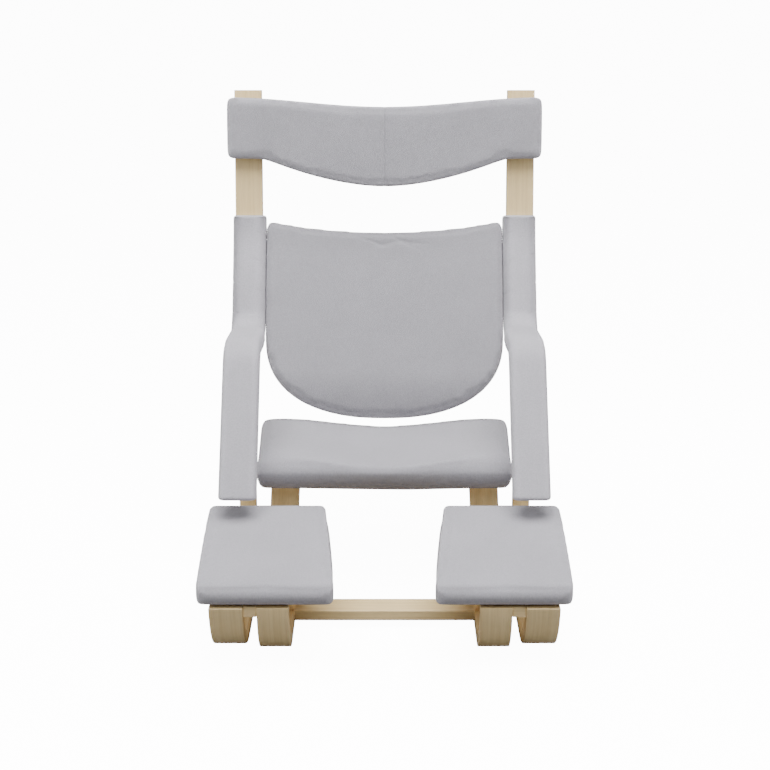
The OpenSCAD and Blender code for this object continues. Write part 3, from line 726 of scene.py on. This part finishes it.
def arm_puckers(from_elbow, *_):
    """Folds across the arm's padding just after the elbow."""
    wave = math.sin(2 * math.pi * from_elbow / 19.0 + 0.6)
    return 0.4 * max(0.0, wave) * math.exp(-from_elbow / 30.0)

# ---------- building ----------


# Lit and shaded copies of one cloth: the number after each name is painted light (sleeves) or painted shade
# (pads, seat, headrest, back)
CLOTH_SLEEVE = fabric("grey_weave_sleeve", 1.09)
CLOTH_PAD = fabric("grey_weave_pad", 0.98)
CLOTH_SEAT = fabric("grey_weave_seat", 0.94)
CLOTH_BACK = fabric("grey_weave_back", 0.86)
CLOTH_SEAMED = fabric("grey_weave_seamed", 0.94, 0.0)


def build_cushions():
    """The four padded shapes."""
    knee = soft_blank("knee_pad_left_cover", "knee_pad_left")
    seat = soft_blank("seat_cover", "seat_cushion")
    back = soft_blank("back_cover", "back_cushion")
    head = soft_blank("headrest_cover", "headrest_cushion", HEAD_VOXEL)
    caps = {knee.name: SWELL, seat.name: SWELL, back.name: SWELL, head.name: HEAD_SWELL}
    for blank, local in ((knee, ON_PAD), (seat, ON_SEAT)):
        p = local.inside(points_of(blank.data))
        add_cloth(blank, (p[:, 2] < BOARD_HEIGHT) & (p[:, 1] > FREE_FRONT))
    p = ON_BACK.inside(points_of(back.data))
    add_cloth(back, p[:, 1] + p[:, 0] ** 2 / BACK_BOW > BACK_HELD)
    p = ON_POST.inside(points_of(head.data))
    arch = np.clip(1 - (p[:, 0] / HEAD_BEND_HALF) ** 2, 0, None) * HEAD_BOW
    add_cloth(head, p[:, 1] - arch > HEAD_HELD)
    run_cloth([knee, seat, back, head], caps)
    for blank, node, local, shape in (
            (knee, "knee_pad_left", ON_PAD, shape_knee_pad),
            (seat, "seat_cushion", ON_SEAT, shape_seat),
            (back, "back_cushion", ON_BACK, shape_back),
            (head, "headrest_cushion", ON_POST, shape_headrest)):
        refine(blank)
        refit(blank.data, node, local)
        shape(blank.data)
    return knee, seat, back, head


def show_cover(mesh, node, material, body):
    """Turns a mesh into a shown piece that stands for its CAD node."""
    piece = new_object(node + "_cover", mesh, material, body)
    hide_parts(node)


def show_cushion(blank, node, material, body):
    mesh = blank.data
    bpy.data.objects.remove(blank)
    show_cover(mesh, node, material, body)


def cushions():
    """Every cushion's cover. The right knee pad is the left one mirrored."""
    knee, seat, back, head = build_cushions()
    right = bpy.data.objects.new("knee_pad_right_blank", mirrored(knee.data))
    show_cushion(knee, "knee_pad_left", CLOTH_PAD, "frame")
    show_cushion(right, "knee_pad_right", CLOTH_PAD, "frame")
    show_cushion(seat, "seat_cushion", CLOTH_SEAT, "seat")
    show_cushion(back, "back_cushion", CLOTH_BACK, "frame")
    show_cushion(head, "headrest_cushion", CLOTH_SEAMED, "headrest")


def sleeves():
    """Padding around each post above the elbow and around each arm below it."""
    elbow_start = side_parts(POST_START, POST)[1]
    arm_start = side_parts(elbow_start, ELBOW)[1]
    for word, side in SIDES.items():
        mesh = swept("post_sleeve", side, stations(elbow_start, ELBOW), open_section,
                     POST_ROUND, POST_ROUND, post_puckers)
        show_cover(mesh, f"post_sleeve_{word}", CLOTH_SLEEVE, "frame")
        mesh = swept("arm_sleeve", side, stations(arm_start, ARM_SLEEVE), closed_section,
                     ARM_ROUND_TOP, ARM_ROUND_END, arm_puckers, END_SLANT)
        show_cover(mesh, f"arm_sleeve_{word}", CLOTH_SLEEVE, "frame")


def dress(names, material, round_by):
    """Gives CAD nodes a material and softly rounded edges."""
    for name in names:
        obj = NODES[name]
        obj.data.materials.clear()
        obj.data.materials.append(material)
        for polygon in obj.data.polygons:
            polygon.use_smooth = True
        obj.modifiers.new("weld", "WELD").merge_threshold = 0.00005
        flat = obj.modifiers.new("flat", "DECIMATE")
        flat.decimate_type, flat.angle_limit = "DISSOLVE", math.radians(0.6)
        edge = obj.modifiers.new("edge", "BEVEL")
        edge.width, edge.segments, edge.limit_method = round_by, 3, "ANGLE"
        edge.angle_limit, edge.harden_normals = math.radians(38), True
        edge.use_clamp_overlap = True
        obj.modifiers.new("normals", "WEIGHTED_NORMAL").keep_sharp = False


# How far edges are rounded, in metres
ROUND_BENT, ROUND_SLIM, ROUND_BAR, ROUND_PLY = 0.003, 0.002, 0.0015, 0.001
ROUND_KNOB, ROUND_PLATE, ROUND_BOLT = 0.001, 0.0006, 0.0005
# Radius of the boards that are curved in plan, in metres
BACK_RADIUS, HEAD_RADIUS = 1.203, 1.9
ALONG_Y, ALONG_Z = (0.0, 1.0, 0.0), (0.0, 0.0, 1.0)


def both(name):
    """The left and the right node of a pair."""
    return [f"{name}_{word}" for word in SIDES]


def leaning(degrees):
    """Directions through and up a board that leans back by an angle."""
    c, s = math.cos(math.radians(degrees)), math.sin(math.radians(degrees))
    return (0.0, c, -s), (0.0, s, c)


def bent_members():
    strut_foot = side_parts(STRUT_START, STRUT)[1]
    dress(both("runner"), bent_wood("birch_runner", RUNNER_START, RUNNER), ROUND_BENT)
    dress(both("seat_beam"), bent_wood("birch_beam", BEAM_START, BEAM), ROUND_BENT)
    dress(both("post_arm"), bent_wood("birch_post", POST_START, POST + ELBOW + ARM), ROUND_BENT)
    dress(both("rear_leg"), bent_wood("birch_leg", LEG_START, LEG), ROUND_BENT)
    dress(both("rear_strut"), bent_wood("birch_strut", STRUT_START, STRUT, -strut_foot[1]), ROUND_SLIM)


def rails_and_boards():
    rails = straight_wood("birch_rail", *leaning(BACK_LEAN), bow=BACK_RADIUS)
    dress(["back_rail_upper", "back_rail_lower", "rail_wedges"], rails, ROUND_SLIM)
    bars = straight_wood("birch_bar", ALONG_Z, ALONG_Y, veneer=SOLID)
    dress(["foot_bar", "seat_bearer"] + both("pad_cleat") + both("strut_tie"), bars, ROUND_BAR)
    boards = straight_wood("birch_board", ALONG_Y, ALONG_Z, veneer=SOLID)
    dress(both("pad_riser"), boards, ROUND_BAR)
    flat_ply = straight_wood("birch_ply_flat", ALONG_Z, ALONG_Y, veneer=PLY_VENEER, ply=True)
    dress(both("pad_base") + ["seat_base"], flat_ply, ROUND_PLY)
    back_ply = straight_wood("birch_ply_back", *leaning(BACK_LEAN), bow=BACK_RADIUS,
                             veneer=SHELL_VENEER, ply=True)
    dress(["back_shell"], back_ply, ROUND_PLY)
    head_ply = straight_wood("birch_ply_head", *leaning(POST_LEAN), bow=HEAD_RADIUS,
                             veneer=SHELL_VENEER, ply=True)
    dress(["headrest_board"], head_ply, ROUND_PLY)


def fittings():
    black = worn("black_powder_coat", BLACK_PAINT, BLACK_WORN, 0.42, 0.0, 900.0, 0.00006)
    dress(both("headrest_clamp"), black, ROUND_PLATE)
    zinc = worn("zinc_plate", ZINC_DARK, ZINC_PALE, 0.36, 1.0, 700.0, 0.00003)
    dress(["rail_bolts", "foot_bar_bolts", "pad_screws", "pad_brackets"], zinc, ROUND_BOLT)
    bolt_sockets(zinc)
    nylon = worn("black_nylon", NYLON, NYLON_WORN, 0.5, 0.0, 1200.0, 0.00008)
    dress(both("headrest_knob") + both("seat_knob"), nylon, ROUND_KNOB)
    rubber = worn("black_rubber", RUBBER, RUBBER_DUST, 0.82, 0.0, 500.0, 0.00012)
    dress(["floor_strips"], rubber, ROUND_PLATE)

# ---------- bolt heads ----------

# Rail bolts: X, then depth and height of each in the chest cushion's frame, in millimetres
RAIL_BOLT_X = 277
RAIL_BOLTS = ((48.7, -70), (55.7, -150))
# Foot bar bolts: X, distances from the chair's front, and height, in millimetres
FOOT_BOLT_X = 244.5
FOOT_BOLTS = (236, 270)
FOOT_BOLT_Z = 18.5
# Radius of each bolt's head and the size of the recess for its key, in metres
RAIL_BOLT_RIM, RAIL_BOLT_KEY = 0.0078, 0.0033
FOOT_BOLT_RIM, FOOT_BOLT_KEY = 0.0063, 0.0026
RIM_POINTS = 24
CHAMFER = 0.0007


def socket_rim(centre, out, rim, key, vertices, faces):
    """Adds a chamfered rim with a six-sided recess, on top of a bolt head."""
    out = np.array(out) / np.linalg.norm(out)
    u = np.cross(out, (1, 0, 0) if abs(out[0]) < 0.9 else (0, 1, 0))
    u /= np.linalg.norm(u)
    v = np.cross(out, u)
    angles = np.arange(RIM_POINTS) * 2 * math.pi / RIM_POINTS
    sixth = math.pi / 6
    hexagon = key * math.cos(sixth) / np.cos((angles + sixth) % (math.pi / 3) - sixth)
    rings = ((np.full(RIM_POINTS, rim), 0.00002), (np.full(RIM_POINTS, rim - CHAMFER), CHAMFER),
             (hexagon * 1.06, CHAMFER), (hexagon, 0.0005), (hexagon * 0.96, 0.00005))
    first = len(vertices)
    for radii, height in rings:
        for a, r in zip(angles, radii):
            vertices.append(np.array(centre) + out * height + u * r * math.cos(a) + v * r * math.sin(a))
    for ring in range(first, first + (len(rings) - 1) * RIM_POINTS, RIM_POINTS):
        for k in range(RIM_POINTS):
            a, b = ring + k, ring + (k + 1) % RIM_POINTS
            faces.append((a, b, b + RIM_POINTS, a + RIM_POINTS))
    faces.append(tuple(range(len(vertices) - RIM_POINTS, len(vertices))))


def bolt_sockets(material):
    """The key recesses of the rail bolts and the foot bar bolts, as one piece."""
    vertices, faces = [], []
    tip, foot = ON_BACK.outside(np.array([[0, 1, 0], [0, 0, 0]], float))
    for side in SIDES.values():
        for depth, height in RAIL_BOLTS:
            spot = np.array([[side * RAIL_BOLT_X, depth, height]]) / 1000
            socket_rim(ON_BACK.outside(spot)[0], tip - foot, RAIL_BOLT_RIM, RAIL_BOLT_KEY, vertices, faces)
        for y in FOOT_BOLTS:
            place = (side * FOOT_BOLT_X / 1000, *in_place(y, FOOT_BOLT_Z))
            socket_rim(place, (side, 0, 0), FOOT_BOLT_RIM, FOOT_BOLT_KEY, vertices, faces)
    mesh = mesh_from("bolt_sockets", vertices, faces)
    outward(mesh)
    piece = new_object("bolt_sockets", mesh, material, "frame")

# ---------- floor, light and camera ----------

FLOOR_GLOW = 14.0
FLOOR_SIZE = 30.0
FLOOR_WHITE, FLOOR_GREY = (0.9, 0.9, 0.9, 1), (0.22, 0.22, 0.22, 1)
WORLD_LIGHT = 0.12
# Each light: place, what it points at, size, power in watts. The side light is mirrored.
TOP_LIGHT = ((0.0, -0.7, 3.4), (0.0, 0.0, 0.3), (3.0, 2.6), 250)
FRONT_LIGHT = ((0.0, -4.2, 3.2), (0.0, 0.0, 0.6), (2.6, 1.6), 36)
SIDE_LIGHT = ((3.0, 0.0, 1.0), (0.0, 0.0, 0.4), (2.2, 1.8), 70)
CAMERA_AT = (0.0, -3.628, 1.416)
CAMERA_DOWN = 15.0
CAMERA_LENS = 84.8
CAMERA_SHIFT = 0.00065


def floor():
    """A floor that the camera sees as white, and that throws little light back up."""
    corners = [(x * FLOOR_SIZE, y * FLOOR_SIZE, 0) for x, y in ((-1, -1), (1, -1), (1, 1), (-1, 1))]
    mesh = mesh_from("floor", corners, [(0, 1, 2, 3)])
    plane = bpy.data.objects.new("floor", mesh)
    bpy.context.scene.collection.objects.link(plane)
    s = Shader("white_floor", 0.9)
    seen = s.put("LightPath", {}).outputs["Is Camera Ray"]
    s.feed(s.surface.inputs["Base Color"], s.mix(seen, FLOOR_GREY, FLOOR_WHITE))
    s.surface.inputs["Emission Color"].default_value = FLOOR_WHITE
    s.feed(s.surface.inputs["Emission Strength"], s.calc("MULTIPLY", seen, FLOOR_GLOW))
    plane.data.materials.append(s.material)


def area_light(name, place, target, size, power):
    lamp = bpy.data.lights.new(name, "AREA")
    lamp.shape, lamp.size, lamp.size_y, lamp.energy = "RECTANGLE", size[0], size[1], power
    obj = bpy.data.objects.new(name, lamp)
    bpy.context.scene.collection.objects.link(obj)
    obj.location = place
    direction = np.subtract(target, place)
    obj.rotation_mode = "QUATERNION"
    obj.rotation_quaternion = Vector(direction).to_track_quat("-Z", "Y")


def studio():
    """A soft light overhead, one to each side and a weak one high in front."""
    world = bpy.data.worlds.new("studio")
    world.use_nodes = True
    background = world.node_tree.nodes["Background"]
    background.inputs["Color"].default_value = (1.0, 1.0, 1.0, 1)
    background.inputs["Strength"].default_value = WORLD_LIGHT
    bpy.context.scene.world = world
    area_light("top_light", *TOP_LIGHT)
    area_light("front_light", *FRONT_LIGHT)
    (x, y, z), *rest = SIDE_LIGHT
    for side in SIDES.values():
        area_light("side_light", (side * x, y, z), *rest)


def camera():
    data = bpy.data.cameras.new("view")
    data.sensor_width, data.lens, data.shift_x = 36, CAMERA_LENS, CAMERA_SHIFT
    eye = bpy.data.objects.new("view", data)
    bpy.context.scene.collection.objects.link(eye)
    eye.location = CAMERA_AT
    eye.rotation_euler = (math.radians(90 - CAMERA_DOWN), 0, 0)
    bpy.context.scene.camera = eye


bent_members()
rails_and_boards()
fittings()
cushions()
sleeves()
floor()
studio()
camera()
